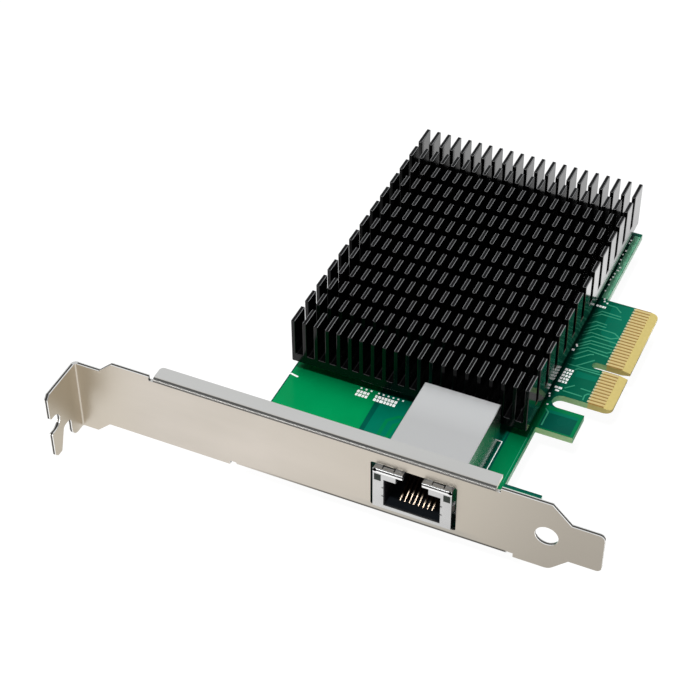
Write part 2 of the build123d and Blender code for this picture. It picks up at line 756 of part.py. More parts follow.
with BuildPart() as underside_capacitors:
    with BuildSketch(Plane.XY.offset(board_low)):
        with Locations((chip_x, chip_y)):
            with GridLocations(small_pitch, small_pitch, decoupling_columns, decoupling_rows):
                Rectangle(small_length, small_width)
        with Locations((chip_x, chip_y + regulator_back)):
            with GridLocations(inductor_pitch, small_pitch, 3, 2):
                Rectangle(small_length, small_width)
    extrude(amount=-small_height)
underside_capacitors.part.label = "underside_capacitors"
export_step(underside_capacitors.part, "parts/underside_capacitors.step")
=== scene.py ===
import math

import bmesh
import bpy
from mathutils import Matrix, Vector


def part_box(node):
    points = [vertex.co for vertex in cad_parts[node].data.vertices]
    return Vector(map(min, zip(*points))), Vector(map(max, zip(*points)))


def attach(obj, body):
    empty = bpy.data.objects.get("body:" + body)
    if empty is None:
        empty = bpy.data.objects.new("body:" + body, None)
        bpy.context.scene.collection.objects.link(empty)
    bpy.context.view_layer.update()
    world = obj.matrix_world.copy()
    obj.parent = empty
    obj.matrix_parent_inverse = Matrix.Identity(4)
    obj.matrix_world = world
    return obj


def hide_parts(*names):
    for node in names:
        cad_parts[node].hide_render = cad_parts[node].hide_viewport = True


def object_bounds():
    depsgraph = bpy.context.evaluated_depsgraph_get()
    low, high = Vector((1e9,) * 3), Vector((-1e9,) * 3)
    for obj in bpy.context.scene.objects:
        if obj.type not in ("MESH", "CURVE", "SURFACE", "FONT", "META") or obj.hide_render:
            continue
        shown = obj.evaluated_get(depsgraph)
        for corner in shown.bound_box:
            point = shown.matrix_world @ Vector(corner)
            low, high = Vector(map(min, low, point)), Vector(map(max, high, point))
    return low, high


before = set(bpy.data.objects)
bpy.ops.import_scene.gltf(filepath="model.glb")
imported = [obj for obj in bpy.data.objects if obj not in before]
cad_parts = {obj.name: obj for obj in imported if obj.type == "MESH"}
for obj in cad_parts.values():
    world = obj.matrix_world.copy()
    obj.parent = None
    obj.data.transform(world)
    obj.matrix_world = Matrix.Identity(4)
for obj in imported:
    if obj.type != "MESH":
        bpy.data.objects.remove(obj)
cad_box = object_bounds()

# Camera: a 96 mm lens, 420 mm from a point on the board, 25 degrees round from the bracket's face
# and 43 degrees up.
azimuth, elevation, roll = math.radians(24.573), math.radians(42.546), math.radians(-0.382)
distance = 0.41986
aim = Vector((47.486, 39.601, 0)) / 1000
level = Vector((math.cos(azimuth), math.sin(azimuth), 0))
back = Vector((math.sin(azimuth) * math.cos(elevation), -math.cos(azimuth) * math.cos(elevation),
               math.sin(elevation)))
upward = back.cross(level)
side = level * math.cos(roll) + upward * math.sin(roll)
turn = Matrix((side, back.cross(side), back)).transposed().to_4x4()
lens = bpy.data.cameras.new("camera")
lens.lens = 96.135
lens.sensor_width = 36
lens.clip_start = 0.01
lens.clip_end = 20
camera = bpy.data.objects.new("camera", lens)
camera.matrix_world = Matrix.Translation(aim + back * distance) @ turn
bpy.context.scene.collection.objects.link(camera)
bpy.context.scene.camera = camera
bpy.context.scene.view_settings.view_transform = "Standard"


# Studio: a white sweep all round and a white floor that keeps a faint shadow. A broad soft box hangs
# behind and above the card, a small lamp above its front, and a strip fills in from the front.
def put(tree, kind, sockets=None, out=0, **settings):
    """Adds a shader node with values or links for its sockets, and gives back one of its outputs."""
    made = tree.nodes.new("ShaderNode" + kind)
    for key, value in settings.items():
        setattr(made, key, value)
    for key, value in (sockets or {}).items():
        if isinstance(value, bpy.types.NodeSocket):
            tree.links.new(value, made.inputs[key])
        else:
            made.inputs[key].default_value = value
    return made.outputs[out]


def worked(tree, operation, *values, **settings):
    """The result of one sum on up to three values."""
    return put(tree, "Math", dict(enumerate(values)), operation=operation, **settings)


def both(tree, first, second):
    """One share taken of another."""
    return worked(tree, "MULTIPLY", first, second)


def either(tree, first, second):
    """The greater of two shares."""
    return worked(tree, "MAXIMUM", first, second)


def above(tree, value, limit):
    """One where a value is above a limit."""
    return worked(tree, "GREATER_THAN", value, limit)


def below(tree, value, limit):
    """One where a value is below a limit."""
    return worked(tree, "LESS_THAN", value, limit)


def within(tree, value, middle, half):
    """One where a value is no further than half a width from a middle."""
    return worked(tree, "COMPARE", value, middle, half)


def ramp(tree, value, start, end, first=0.0, last=1.0, soft=False):
    """A number that goes from first to last while a value goes from start to end."""
    return put(tree, "MapRange", {0: value, 1: start, 2: end, 3: first, 4: last},
               interpolation_type="SMOOTHSTEP" if soft else "LINEAR")


def blend(tree, share, first, last):
    """A number between two others."""
    return put(tree, "Mix", {0: share, 2: first, 3: last})


def position(tree):
    """The place of a point along the part's three axes, in metres."""
    return put(tree, "SeparateXYZ", {0: put(tree, "TexCoord", out="Object")}).node.outputs


def seen_directly(tree):
    """One for rays from the camera or from a mirror, and nothing for rays that only light."""
    rays = tree.nodes.new("ShaderNodeLightPath").outputs
    seen = either(tree, rays["Is Camera Ray"], rays["Is Glossy Ray"])
    return either(tree, seen, rays["Is Transmission Ray"])


world = bpy.data.worlds.new("studio")
world.use_nodes = True
bpy.context.scene.world = world
sky = world.node_tree
sky.nodes.clear()
white = put(sky, "Background", {"Color": (1, 1, 1, 1), "Strength": 1.0})
dim = put(sky, "Background", {"Color": (1, 1, 1, 1), "Strength": 0.08})
way = put(sky, "TexCoord", out="Generated")
ahead = put(sky, "VectorMath", {0: way, 1: (0.31, -0.67, 0.68)}, out="Value", operation="DOT_PRODUCT")
ceiling = ramp(sky, put(sky, "SeparateXYZ", {0: way}, out="Z"), 0.1, 1.0, 1.0, 0.75)
gap = ramp(sky, ahead, 0.2, 0.75, 1.0, 0.24, soft=True)
mirror = put(sky, "Background", {"Color": (0.96, 0.98, 1, 1), "Strength": both(sky, ceiling, gap)})
rays = sky.nodes.new("ShaderNodeLightPath").outputs
sweep = put(sky, "MixShader", {0: rays["Is Glossy Ray"], 1: white, 2: mirror})
shown = put(sky, "MixShader", {0: seen_directly(sky), 1: dim, 2: sweep})
sky.links.new(shown, sky.nodes.new("ShaderNodeOutputWorld").inputs["Surface"])

floor_size, floor_gap = 3.0, 0.00005
mesh = bpy.data.meshes.new("floor")
form = bmesh.new()
bmesh.ops.create_grid(form, x_segments=1, y_segments=1, size=floor_size)
bmesh.ops.translate(form, verts=form.verts, vec=(0, 0, cad_box[0][2] - floor_gap))
form.to_mesh(mesh)
form.free()
floor = bpy.data.objects.new("floor", mesh)
bpy.context.scene.collection.objects.link(floor)
paper = bpy.data.materials.new("paper")
paper.use_nodes = True
tree = paper.node_tree
tree.nodes.clear()
x, y, _ = position(tree)
# Seen in reflections the floor glows unevenly, as painted light and shadow: dimmer in front towards the
# right, brighter beside the card's right end, and dark in a band under the board, a painted shadow of it.
in_front = ramp(tree, x, 0.07, 0.115, 0.9, 0.58, soft=True)
beside = both(tree, ramp(tree, x, 0.09, 0.1, 1.3, 2.1), ramp(tree, y, 0.09, 0.11, 1.0, 0.7))
under = either(tree, ramp(tree, y, 0.071, 0.079, 0.08, 1.0), ramp(tree, y, 0.026, 0.031, 0.7, 0.0))
mirrored = blend(tree, below(tree, y, 0.0), both(tree, beside, under), in_front)
rays = tree.nodes.new("ShaderNodeLightPath").outputs
glow = put(tree, "Emission", {"Color": (1, 1, 1, 1),
                              "Strength": blend(tree, rays["Is Glossy Ray"], 0.955, mirrored)})
shadowed = put(tree, "BsdfDiffuse", {"Color": (0.12, 0.12, 0.12, 1)})
lighting = put(tree, "BsdfDiffuse", {"Color": (0.8, 0.8, 0.8, 1)})
shown = put(tree, "MixShader", {0: seen_directly(tree), 1: lighting,
                                2: put(tree, "AddShader", {0: glow, 1: shadowed})})
tree.links.new(shown, tree.nodes.new("ShaderNodeOutputMaterial").inputs["Surface"])
mesh.materials.append(paper)

for name, place, size, power in (("top", (0, -0.33, 0.80), (0.05, 0.05), 2.8),
                                 ("key", (-0.10, 0.15, 0.70), (0.50, 0.50), 3.4),
                                 ("front", (-0.10, -0.55, 0.07), (0.50, 0.08), 1.2)):
    box = bpy.data.lights.new(name, "AREA")
    box.shape = "RECTANGLE"
    box.size, box.size_y = size
    box.energy = power
    lamp = bpy.data.objects.new(name, box)
    lamp.location = aim + Vector(place)
    lamp.rotation_euler = Vector(place).to_track_quat("Z", "Y").to_euler()
    lamp.visible_glossy = name == "front"
    bpy.context.scene.collection.objects.link(lamp)


# Circuit board: woven glass laminate, sawn and routed to its outline, under a glossy green solder mask.
# It is pale green where its edges are cut and bare gold-brown on the tongue, where the mask stops short.
def mixed(tree, share, low, high):
    """A colour between two others."""
    made = tree.nodes.new("ShaderNodeMix")
    made.data_type = "RGBA"
    for key, value in ((0, share), (6, low), (7, high)):
        if isinstance(value, bpy.types.NodeSocket):
            tree.links.new(value, made.inputs[key])
        else:
            made.inputs[key].default_value = value if key == 0 else (*value, 1)
    return made.outputs[2]


def patches(tree, size, stretch=(1, 1, 1), low=0.3, high=0.7):
    """Cloudy patches of about one size in millimetres, from 0 to 1."""
    place = put(tree, "TexCoord", out="Object")
    scaled = put(tree, "Mapping", {"Vector": place, "Scale": [s * 1000 / size for s in stretch]})
    noise = put(tree, "TexNoise", {"Vector": scaled, "Scale": 1.0, "Detail": 3.0})
    return ramp(tree, noise, low, high)


def finish(name, dark, light, rough, metal=0.0, ior=1.5, size=1.0, stretch=(1, 1, 1), bump=0.0, gloss=0.06):
    """A material whose colour and roughness wander a little, with a fine relief in millimetres."""
    made = bpy.data.materials.new(name)
    made.use_nodes = True
    tree = made.node_tree
    shader = tree.nodes["Principled BSDF"]
    cloud = patches(tree, size, stretch)
    tree.links.new(mixed(tree, cloud, dark, light), shader.inputs["Base Color"])
    tree.links.new(ramp(tree, cloud, 0.0, 1.0, rough - gloss, rough + gloss), shader.inputs["Roughness"])
    shader.inputs["Metallic"].default_value = metal
    shader.inputs["IOR"].default_value = ior
    if bump:
        fine = patches(tree, size / 4, stretch)
        relief = put(tree, "Bump", {"Height": fine, "Strength": 0.5, "Distance": bump / 1000})
        tree.links.new(relief, shader.inputs["Normal"])
    return made


def opened(material):
    """The nodes of a finish, its shader and the colour that it has so far."""
    tree = material.node_tree
    shader = tree.nodes["Principled BSDF"].inputs
    return tree, shader, shader["Base Color"].links[0].from_socket


def surface(tree):
    """The direction that the surface faces."""
    return put(tree, "NewGeometry", out="Normal")


def facing(tree):
    """How much the surface faces along each of the part's three axes, from -1 to 1."""
    return put(tree, "SeparateXYZ", {0: surface(tree)}).node.outputs


def dress(material, *names):
    """Gives CAD nodes a material of their own."""
    for name in names:
        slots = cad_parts[name].data.materials
        slots.clear()
        slots.append(material)


mask_end, tongue_mask, tongue_front = 0.1018, 0.0935, 0.042
board = finish("solder_mask", (0.0, 0.085, 0.058), (0.0, 0.105, 0.070), 0.22, ior=1.15, size=6)
tree, shader, mask = opened(board)
x, y, _ = position(tree)
face_x, _, face_z = facing(tree)
flat = above(tree, worked(tree, "ABSOLUTE", face_z), 0.98)
tongue = above(tree, y, tongue_front)
fibres = patches(tree, 0.5, (1, 1, 5))
# Painted light and shade: the cut edges of one laminate get a different green by the way they face, a
# deeper green where turned along X and a paler, yellower one where turned forwards.
edge = mixed(tree, worked(tree, "ABSOLUTE", face_x),
             mixed(tree, fibres, (0.42, 0.68, 0.32), (0.56, 0.82, 0.45)),
             mixed(tree, fibres, (0.22, 0.62, 0.34), (0.34, 0.76, 0.46)))
mask = mixed(tree, both(tree, above(tree, x, tongue_mask), tongue), mask, (0.0, 0.130, 0.072))
covered = mixed(tree, flat, edge, mask)
# Painted shadow: the board behind the bracket's window is painted near black.
painted_shadow_behind_window = both(tree, within(tree, x, 0.0797, 0.0135), ramp(tree, y, 0.009, 0.013, 1.0, 0.0))
covered = mixed(tree, painted_shadow_behind_window, covered, (0.0, 0.012, 0.008))
laminate = mixed(tree, patches(tree, 0.6), (0.33, 0.18, 0.04), (0.41, 0.24, 0.06))
tip = mixed(tree, patches(tree, 0.6, low=0.1, high=0.9), (0.70, 0.57, 0.20), (0.77, 0.63, 0.24))
bare = above(tree, both(tree, x, tongue), mask_end)
tree.links.new(mixed(tree, bare, covered, mixed(tree, flat, tip, laminate)), shader["Base Color"])
dress(board, "circuit_board")


# Copper under the mask: the broad ground area, the traces to the edge connector and the short runs
# beside the jack, all etched foil that lifts the mask a little and shows through it brighter.
def raised(name, outlines, height, material):
    """A piece made of flat plates with the given outlines, on the board, in millimetres."""
    form = bmesh.new()
    for outline in outlines:
        face = form.faces.new([form.verts.new((x / 1000, y / 1000, 0.0)) for x, y in outline])
        made = bmesh.ops.extrude_face_region(form, geom=[face])
        tops = [v for v in made["geom"] if isinstance(v, bmesh.types.BMVert)]
        bmesh.ops.translate(form, verts=tops, vec=(0, 0, height / 1000))
    bmesh.ops.recalc_face_normals(form, faces=form.faces)
    mesh = bpy.data.meshes.new(name)
    form.to_mesh(mesh)
    form.free()
    mesh.materials.append(material)
    piece = bpy.data.objects.new(name, mesh)
    bpy.context.scene.collection.objects.link(piece)
    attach(piece, "root")


def run(points, width):
    """The outline of a trace along points, with mitred corners."""
    left, right = [], []
    for k, point in enumerate(points):
        here = Vector(point)
        before = (here - Vector(points[k - 1])).normalized() if k else None
        after = (Vector(points[k + 1]) - here).normalized() if k + 1 < len(points) else None
        way = ((before or after) + (after or before)).normalized()
        across = Vector((-way.y, way.x)) * width / 2 / max(way.dot(before or after), 0.3)
        left.append(here + across)
        right.append(here - across)
    return [tuple(p) for p in left + right[::-1]]


def plate(left, right, front, rear):
    """The outline of a rectangle."""
    return [(left, front), (right, front), (right, rear), (left, rear)]


foil, thin_foil, trace_height = 0.03, 0.02, 0.035
trace_width, wide_trace, hair_trace = 0.3, 0.8, 0.12
copper = finish("masked_copper", (0.0, 0.29, 0.088), (0.0, 0.31, 0.095), 0.22, ior=1.15, size=6)
tree, shader, bright_green = opened(copper)
rightward = ramp(tree, position(tree)["X"], 0.058, 0.064)
tree.links.new(mixed(tree, rightward, bright_green, (0.0, 0.21, 0.072)), shader["Base Color"])
# Painted light: the copper strip beside the heatsink is painted much paler and brighter than the other
# copper, standing in for light where the heatsink shades it.
painted_light_side_copper = finish("masked_side_copper", (0.18, 0.62, 0.37), (0.32, 0.78, 0.52), 0.22, ior=1.15, size=1.2)
pour = finish("masked_pour", (0.0, 0.165, 0.096), (0.0, 0.185, 0.108), 0.22, ior=1.15, size=6)
line = finish("masked_traces", (0.04, 0.34, 0.20), (0.06, 0.40, 0.24), 0.25, ior=1.15, size=3)
raised("ground_copper",
       [[(38.8, 1.9), (59.9, 1.9), (59.3, 28.0), (59.3, 104.6), (38.8, 104.6)],
        plate(89.6, 93.9, 4.5, 33.5), plate(93.9, 101.4, 2.4, 14.4), plate(92.6, 94.4, 33.5, 42.4),
        [(94.4, 33.55), (102.35, 33.55), (102.35, 41.0), (94.4, 41.0), (94.4, 39.8), (101.6, 39.8),
         (101.6, 33.9), (94.4, 33.9)]], foil, copper)
raised("painted_light_side_copper", [plate(93.3, 94.8, 79.6, 104.4)], foil, painted_light_side_copper)
raised("copper_pour",
       [plate(60.6, 89.2, 17.0, 30.0), plate(94.4, 101.6, 38.9, 39.8),
        [(97.0, 68.0), (101.5, 64.0), (101.5, 79.0), (96.6, 78.2)],
        [(96.5, 51.9), (101.3, 52.1), (101.2, 53.7), (96.3, 53.9)]], thin_foil, pour)
fine = (((94.7, 78.5), (95.7, 77.8), (97.6, 77.7), (99.1, 76.3)),
        ((93.4, 73.1), (95.0, 75.1), (99.6, 74.9)), ((93.4, 72.4), (95.2, 74.1), (100.0, 74.0)),
        ((93.3, 69.8), (94.8, 71.2), (97.5, 71.0)), ((93.4, 67.9), (95.6, 70.2), (97.6, 70.1)),
        ((93.4, 66.6), (95.8, 69.1), (100.0, 69.0), (101.4, 68.0)),
        ((93.4, 65.5), (95.0, 67.2), (99.8, 66.9), (101.4, 67.9)),
        ((93.4, 63.6), (95.8, 66.1), (101.5, 65.9)), ((93.5, 62.2), (95.9, 64.6), (101.4, 64.5)),
        ((93.8, 61.4), (96.0, 63.6), (101.3, 63.5)),
        ((93.9, 60.5), (96.0, 62.2), (100.5, 62.0), (101.4, 62.8)),
        ((93.8, 58.5), (96.3, 61.2), (101.2, 60.9)),
        ((93.5, 57.4), (94.6, 57.4), (97.2, 60.1), (98.0, 60.4)),
        ((93.6, 55.2), (95.4, 55.2), (98.8, 58.7)), ((95.6, 55.2), (101.0, 55.4)),
        ((95.7, 54.0), (96.3, 54.6), (101.4, 54.7)), ((95.6, 47.5), (97.4, 49.2)),
        ((95.5, 46.6), (100.0, 46.5)), ((98.9, 48.8), (101.3, 48.7)),
        ((100.5, 45.5), (100.4, 47.0), (100.8, 47.7), (101.4, 47.9)),
        ((93.9, 39.9), (94.9, 39.0), (94.9, 34.6)))
runs = [run(points, trace_width) for points in fine] + [run([(93.4, 15.4), (93.4, 33.3)], hair_trace)]
raised("traces", runs, trace_height, line)
raised("wide_traces", [run([(64.0, 17.2), (64.0, 22.4), (66.0, 24.4), (70.6, 24.4)], wide_trace),
                       run([(66.0, 17.2), (66.0, 21.6), (67.4, 23.0), (70.6, 23.0)], wide_trace)],
       trace_height, copper)

# Silkscreen: white ink printed through a screen on the cured mask, a tick at the board's left edge and
# rows of plain marks where the components are labelled.
ink_height = 0.045
ink = finish("silkscreen", (0.94, 1.0, 0.97), (1.0, 1.0, 1.0), 0.6, size=0.6)
tree, shader, _ = opened(ink)
# The ink also glows faintly, painted light that keeps it white where it lies in shade.
shader["Emission Color"].default_value = (1, 1, 1, 1)
shader["Emission Strength"].default_value = 0.3
marks = [run([(38.6, 27.3), (40.6, 26.9)], 0.45), run([(89.0, 3.0), (89.0, 26.45), (87.6, 26.45)], 0.18),
         run([(93.3, 62.2), (93.7, 61.4)], 0.4), plate(92.9, 93.5, 59.8, 60.4)]


def printed(left, front, lengths, tall, gap=0.25):
    """A row of plain dashes of the given lengths."""
    at = left
    for length in lengths:
        marks.append(plate(at, at + length, front, front + tall))
        at += length + gap


for front, short_row, long_row in ((26.75, (0.5, 0.7, 0.5, 0.6), (0.6, 0.5, 0.8, 0.5, 0.6, 0.5, 0.6)),
                                   (27.8, (0.6, 0.5, 0.7, 0.5), (0.5, 0.7, 0.5, 0.6, 0.5, 0.7, 0.6))):
    printed(54.4, front, short_row, 0.8, 0.18)
    printed(58.7, front, long_row, 0.8, 0.18)
for left, step, wide, count in ((54.7, 1.2, 0.45, 3), (58.9, 1.15, 0.4, 6)):
    for k in range(count):
        printed(left + step * k, 29.1, (wide,), wide)
for k in range(5):
    printed(93.7 - 0.04 * k, 53.0 - 1.02 * k, (0.55, 0.4, 0.6) if k % 2 else (0.65, 0.5, 0.4), 0.68, 0.2)
    printed(92.3, 53.3 - 1.0 * k, (0.35,), 0.35)
printed(93.5, 46.8, (0.7, 0.8), 0.6, 0.15)
printed(93.9, 45.9, (0.9,), 0.5)
printed(93.1, 76.3, (0.5, 0.6, 0.5, 0.3), 0.6, 0.12)
for left, front, wide in ((94.2, 78.4, 0.4), (95.0, 78.0, 0.4), (93.7, 41.0, 0.4), (93.9, 79.2, 0.4),
                          (93.2, 82.1, 0.3), (93.2, 84.5, 0.4), (93.0, 86.4, 0.3), (93.2, 87.5, 0.4),
                          (93.2, 88.8, 0.4), (93.4, 90.2, 0.6), (93.6, 91.4, 0.5), (93.1, 92.7, 0.3),
                          (92.9, 94.3, 0.4), (92.8, 96.3, 0.3), (93.0, 97.9, 0.4), (92.9, 101.0, 0.3),
                          (92.9, 102.2, 0.4), (43.2, 4.1, 0.3), (93.3, 43.6, 0.3), (93.0, 44.4, 0.4)):
    printed(left, front, (wide,), 0.4)
raised("silkscreen", marks, ink_height, ink)

# Edge contacts: copper pads at 1 mm pitch on both sides of the tongue, plated with hard gold.
# A pale strip at the start of each pad is where the plating runs up to the mask.
pad_pitch, pad_height, pad_half, front_pads, back_pads = 1.0, 0.052, 0.3, 11, 21
gold = finish("hard_gold", (0.86, 0.67, 0.29), (0.95, 0.77, 0.36), 0.34, metal=1.0, size=0.8,
              stretch=(0.3, 2, 1))
tree, shader, plating = opened(gold)
along = worked(tree, "MODULO", worked(tree, "ADD", position(tree)["Y"], 0.0003), pad_pitch / 1000)
# Painted reflection: a darker band along one side of each pad.
painted_dark_reflection_band = both(tree, ramp(tree, along, 0.0006, 0.00078, 1.0, 0.0), above(tree, along, 0.0005))
tree.links.new(mixed(tree, painted_dark_reflection_band, plating, (0.66, 0.42, 0.15)), shader["Base Color"])
dress(gold, "edge_contacts_top", "edge_contacts_bottom")
pale = finish("pad_starts", (0.95, 0.82, 0.46), (1.0, 0.90, 0.58), 0.4, metal=1.0, size=0.5)
pads = ([55.65 - k * pad_pitch for k in range(front_pads)]
        + [58.65 + k * pad_pitch for k in range(back_pads)])
raised("pad_starts", [plate(101.5, 101.95, y - pad_half, y + pad_half) for y in pads], pad_height, pale)

# Heatsink: one black anodised aluminium extrusion with 21 fins, cross-cut by 12 saw cuts into pins.
# Its edges are tumbled round, and the channels have rounded roots. The thin highlight on the top rims and
# the channels' front lips is a painted highlight, a far higher reflectance there, and the reflectance of
# the other faces is a painted sheen set by the way they face. Four screws hold it from under the board.
(left, front, low), (right, rear, high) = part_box("heatsink")
fin_count, fin = 21, 0.92e-3
pitch = (right - left - fin) / (fin_count - 1)
first_cut, cut, cut_pitch, cuts = 5.24e-3, 1.82e-3, 5.85e-3, 12
base, web = low + 2.2e-3, low + 3.3e-3
root_round, edge_round, tiny = 0.4e-3, 0.14e-3, 1e-6
form = bmesh.new()
bmesh.ops.create_cube(form, size=1)
bmesh.ops.scale(form, vec=(right - left, rear - front, base - low), verts=form.verts)
bmesh.ops.translate(form, vec=((left + right) / 2, (front + rear) / 2, (low + base) / 2), verts=form.verts)


def scored(places, axis):
    """Cuts the block's faces along lines across it at the given places."""
    for place in places:
        spot, across = Vector(), Vector()
        spot[axis], across[axis] = place, 1
        bmesh.ops.bisect_plane(form, geom=form.verts[:] + form.edges[:] + form.faces[:], plane_co=spot,
                               plane_no=across, dist=1e-7)


def grown(height, new_height, kept):
    """Extrudes the upward faces at one height whose middles pass a test."""
    tops = [f for f in form.faces if abs(f.calc_center_median().z - height) < tiny and f.normal.z > 0.9
            and kept(f.calc_center_median())]
    chosen = set(tops)
    edges = [e for e in form.edges if not chosen.isdisjoint(e.link_faces)]
    made = bmesh.ops.extrude_face_region(form, geom=tops + edges)
    bmesh.ops.translate(form, vec=(0, 0, new_height - height),
                        verts=[v for v in made["geom"] if isinstance(v, bmesh.types.BMVert)])


def rounded(edges, radius, segments):
    """Rounds edges of the block."""
    bmesh.ops.bevel(form, geom=edges, offset=radius, offset_type="OFFSET", affect="EDGES",
                    segments=segments, profile=0.5, material=-1, clamp_overlap=True)


scored([left + k * pitch + side for k in range(fin_count) for side in (0, fin)][1:-1], 0)
scored([front + first_cut + k * cut_pitch + side for k in range(cuts) for side in (0, cut)], 1)
grown(base, web, lambda middle: (middle.x - left) % pitch < fin)
grown(web, high, lambda middle: (middle.y - front - first_cut) % cut_pitch > cut or middle.y > rear - cut
      or middle.y < front + first_cut)
bmesh.ops.dissolve_limit(form, angle_limit=0.02, verts=form.verts, edges=form.edges)
bmesh.ops.recalc_face_normals(form, faces=form.faces)
rounded([e for e in form.edges if e.calc_face_angle_signed(0) < -0.5
         and all(abs(v.co.z - base) < tiny for v in e.verts)], root_round, 4)
rounded([e for e in form.edges if len(e.link_faces) == 2 and e.calc_face_angle() > 0.9], edge_round, 2)
mesh = bpy.data.meshes.new("heatsink_fins")
form.to_mesh(mesh)
form.free()
anodised = finish("black_anodised", (0.0012, 0.0012, 0.0014), (0.0025, 0.0025, 0.0028), 0.14, size=2.5,
                  gloss=0.02)
tree, shader, _ = opened(anodised)
_, y, z = position(tree)
spread = put(tree, "VectorMath", {0: surface(tree)}, operation="ABSOLUTE")
sideways, lengthways, upwards = put(tree, "SeparateXYZ", {0: spread}).node.outputs
# Painted sheen: the reflectance is set by the way a face points, lowest on the tops and highest on faces
# turned along X.
painted_sheen_by_facing = blend(tree, above(tree, upwards, 0.97), ramp(tree, sideways, 0.85, 0.95, 1.34, 1.56), 1.2)
# Painted highlight: a far higher reflectance on the upturned bevels of the top rims and of the channels'
# front lips.
upturned_bevels = both(tree, above(tree, upwards, 0.6), below(tree, upwards, 0.97))
top_rim = both(tree, above(tree, z, high - 0.0005), below(tree, lengthways, 0.3))
channel_lip = both(tree, below(tree, y, front + 0.0004), within(tree, z, base, 0.0005))
rim = both(tree, upturned_bevels, either(tree, top_rim, channel_lip))
tree.links.new(blend(tree, rim, painted_sheen_by_facing, 3.6), shader["IOR"])
mesh.materials.append(anodised)
fins = bpy.data.objects.new("heatsink_fins", mesh)
bpy.context.scene.collection.objects.link(fins)
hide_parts("heatsink")
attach(fins, "root")

# Bracket: one nickel-plated steel sheet with a faint rolled grain along its length, punched to its outline
# and window and bent at the screw tab and along both edges. Its sheared edges carry a painted highlight on
# each side of a dark line. Its colour also holds painted light and shade: lighter on faces turned up,
# darker towards the tail, dark bands on the upper bend and a dark line along the lower bend.
sheet, bend_middle, bend_half, window_middle, lower_bend_end = 0.86e-3, 0.0585, 0.0392, 0.08, 0.1
steel = finish("plated_steel", (0.60, 0.55, 0.485), (0.66, 0.605, 0.54), 0.34, metal=1.0, size=9,
               stretch=(0.35, 1, 1), bump=0.004)
tree, shader, colour = opened(steel)
x, y, z = position(tree)
face_x, face_y, face_z = facing(tree)
on_bend = within(tree, x, bend_middle, bend_half)


def tilted(tree, share, first, last):
    """A direction between two others."""
    return put(tree, "Mix", {0: share, 4: first, 5: last}, out=1, data_type="VECTOR")


def sheared(place, turned, beyond, wide):
    """One on a sheared edge of the sheet, within a distance of the middle of its thickness."""
    across = both(tree, within(tree, place, sheet / 2, wide), within(tree, turned, 0.0, 0.2))
    return both(tree, across, beyond)


def all_sheared(wide):
    """One on the sheared edges of the face and of the tab, but not on the upper bend."""
    face = sheared(y, face_y, above(tree, x, 0.0013), wide)
    bent = both(tree, on_bend, above(tree, z, 0.0128))
    return either(tree, worked(tree, "SUBTRACT", face, bent, use_clamp=True),
                  sheared(x, face_x, below(tree, y, -0.0004), wide))


for share, shade in ((ramp(tree, x, 0.002, 0.022, 1.0, 0.0, soft=True), (0.63, 0.57, 0.48)),
                     # Painted shade: darker towards the tail.
                     (ramp(tree, x, 0.045, 0.09), (0.575, 0.525, 0.45)),
                     (ramp(tree, y, 0.0, -0.003), (0.51, 0.455, 0.365)),
                     # Painted light: faces turned up are lighter.
                     (ramp(tree, face_z, 0.9, 0.97), (0.71, 0.70, 0.675)),
                     # Painted highlight: a bright band along the sheared edges, with a dark line painted
                     # down their middle below.
                     (all_sheared(0.00045), (0.97, 0.96, 0.94)),
                     (all_sheared(0.00022), (0.10, 0.095, 0.085))):
    colour = mixed(tree, share, colour, shade)
# Painted reflection: on the upper bend the facets turned forwards and partly up are painted dark, darkest
# where they face most forwards.
outward = below(tree, face_y, -0.1)
for low, high, shade in ((0.10, 0.5, (0.12, 0.115, 0.11)), (0.5, 0.9, (0.36, 0.355, 0.34))):
    turned = both(tree, within(tree, face_z, (low + high) / 2, (high - low) / 2), outward)
    colour = mixed(tree, both(tree, turned, on_bend), colour, shade)
off_window = worked(tree, "ABSOLUTE", worked(tree, "SUBTRACT", x, window_middle))
under_window = both(tree, ramp(tree, z, -0.0014, -0.0006, 1.0, 0.0),
                    ramp(tree, off_window, 0.004, 0.018, 0.8, 0.0, soft=True))
colour = mixed(tree, under_window, colour, (0.46, 0.44, 0.395))
# Painted shade: a dark line along the lower bend, fading in between 40 mm and 60 mm along the face.
painted_shade_low_edge = both(tree, ramp(tree, z, -0.0026, -0.0023, 1.0, 0.0), below(tree, x, lower_bend_end))
painted_shade_low_edge = both(tree, painted_shade_low_edge, ramp(tree, x, 0.04, 0.06, 0.0, 0.9))
tree.links.new(mixed(tree, painted_shade_low_edge, colour, (0.03, 0.027, 0.024)), shader["Base Color"])
levelled = tilted(tree, both(tree, above(tree, face_z, 0.9), on_bend), surface(tree), (0, 0, 1))
tree.links.new(levelled, shader["Normal"].links[0].from_node.inputs["Normal"])
dress(steel, "bracket")

# Screws and spacers: bright zinc-plated steel pan heads with cross recesses, driven into the bracket's
# lugs and the heatsink's plate, and turned brass rings that hold the heatsink off the board.
bright = finish("bright_steel", (0.62, 0.61, 0.59), (0.72, 0.71, 0.69), 0.25, metal=1.0, size=2)
dress(bright, "bracket_screws", "heatsink_screws")
brass = finish("turned_brass", (0.62, 0.45, 0.17), (0.72, 0.55, 0.23), 0.3, metal=1.0, size=1,
               stretch=(0.3, 0.3, 4))
dress(brass, "heatsink_spacers")

